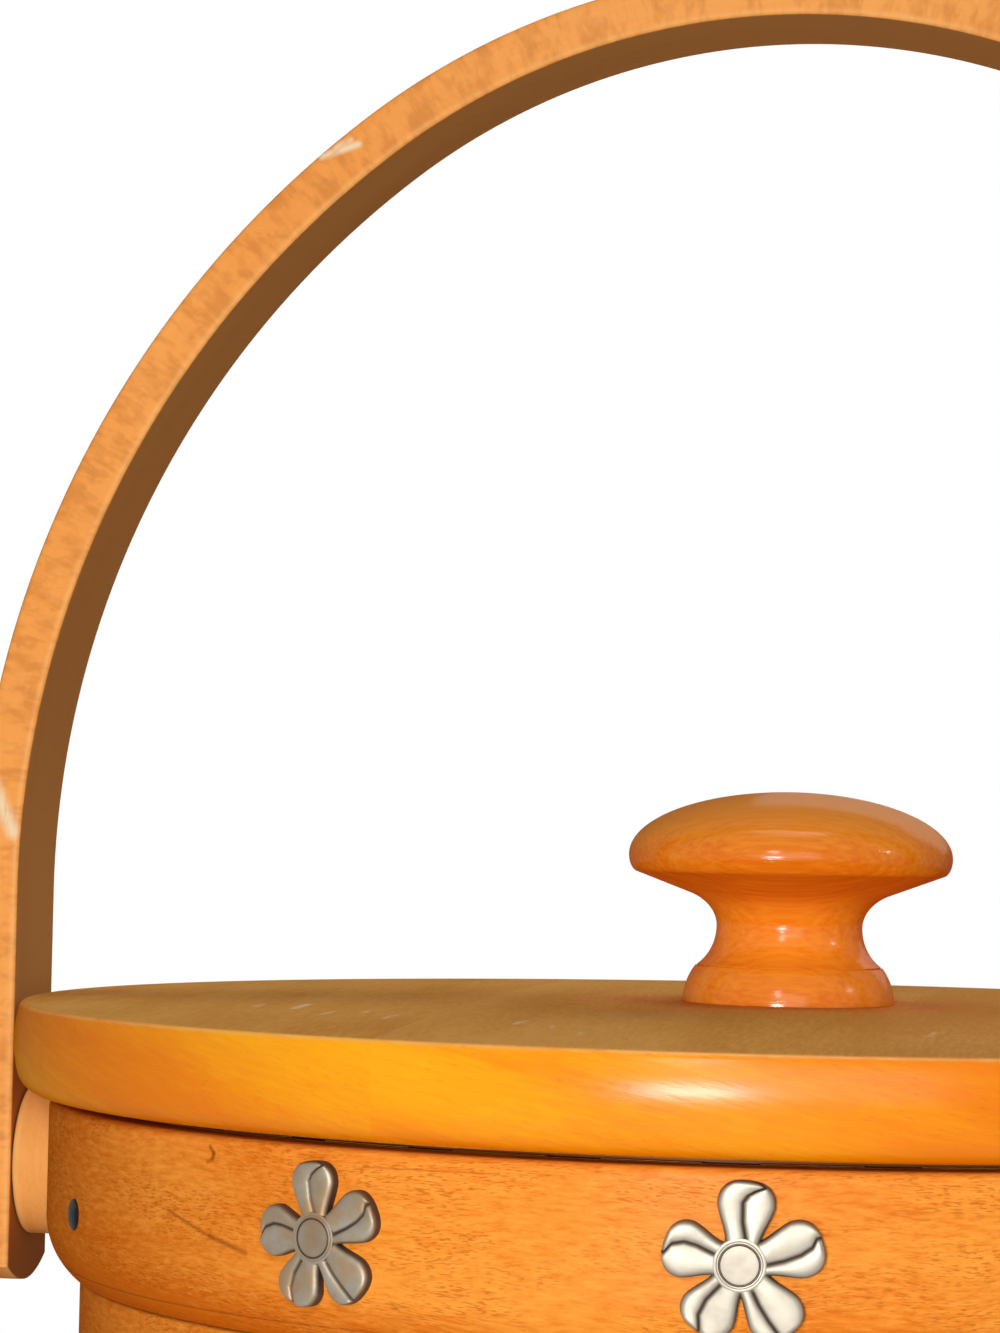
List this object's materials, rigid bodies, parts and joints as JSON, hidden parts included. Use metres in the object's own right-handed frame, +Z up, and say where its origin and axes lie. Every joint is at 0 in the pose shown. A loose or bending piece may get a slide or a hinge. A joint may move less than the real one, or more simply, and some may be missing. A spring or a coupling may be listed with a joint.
{
  "type": "woven basket",
  "caption": "Round woven splint basket with a wooden rim band, pewter flower studs, lift-off wooden lid with a turned knob, and a bentwood swing handle.",
  "frame": {"origin": "centre of the base board's underside, on the floor", "axes": "+Z up, X along the handle's pivot axis, front of the basket towards -Y"},
  "size_m": [0.1992, 0.1802, 0.2569],
  "materials": {
    "splint_wood": "honey-stained splint, satin lacquer",
    "rim_wood": "honey-orange beech, satin lacquer",
    "handle_wood": "bent beech with ray flecks, satin lacquer",
    "spacer_wood": "pale turned beech, satin lacquer",
    "lid_wood": "golden edge-glued beech, satin lacquer",
    "knob_wood": "deep orange turned beech, gloss lacquer",
    "pewter": "dull cast pewter",
    "nail_steel": "dark tacks and screw"
  },
  "bodies": {
    "basket": {"base_board": "splint_wood", "uprights": "splint_wood", "weaver_1": "splint_wood", "weaver_2": "splint_wood", "weaver_3": "splint_wood", "weaver_4": "splint_wood", "weaver_5": "splint_wood", "weaver_6": "splint_wood", "weaver_7": "splint_wood", "weaver_8": "splint_wood", "weaver_9": "splint_wood", "weaver_10": "splint_wood", "weaver_11": "splint_wood", "weaver_12": "splint_wood", "rim_collar": "rim_wood", "rim_inner_hoop": "rim_wood", "rim_band": "rim_wood", "rim_nails": "nail_steel", "flower_front_left": "pewter", "flower_front": "pewter", "flower_front_right": "pewter", "flower_back_left": "pewter", "flower_back": "pewter", "flower_back_right": "pewter", "flower_pins": "pewter", "spacer_left": "spacer_wood", "spacer_right": "spacer_wood", "pivot_pin_left": "pewter", "pivot_pin_right": "pewter", "pivot_washer_left": "pewter", "pivot_washer_right": "pewter", "pivot_burr_left": "pewter", "pivot_burr_right": "pewter"},
    "swing_handle": {"handle": "handle_wood"},
    "lid": {"lid_board_left": "lid_wood", "lid_board_centre": "lid_wood", "lid_board_right": "lid_wood", "lid_ring": "lid_wood", "lid_knob": "knob_wood", "knob_screw": "nail_steel", "knob_washer": "nail_steel"}
  },
  "joints": [
    {"name": "handle_swing", "type": "hinge", "parent": "basket", "child": "swing_handle", "pos_m": [0, 0, 0.1152], "axis": [1, 0, 0], "range_deg": [-135, 135]},
    {"name": "lid_lift", "type": "slide", "parent": "basket", "child": "lid", "axis": [0, 0, 1], "range_m": [0, 0.018]}
  ]
}
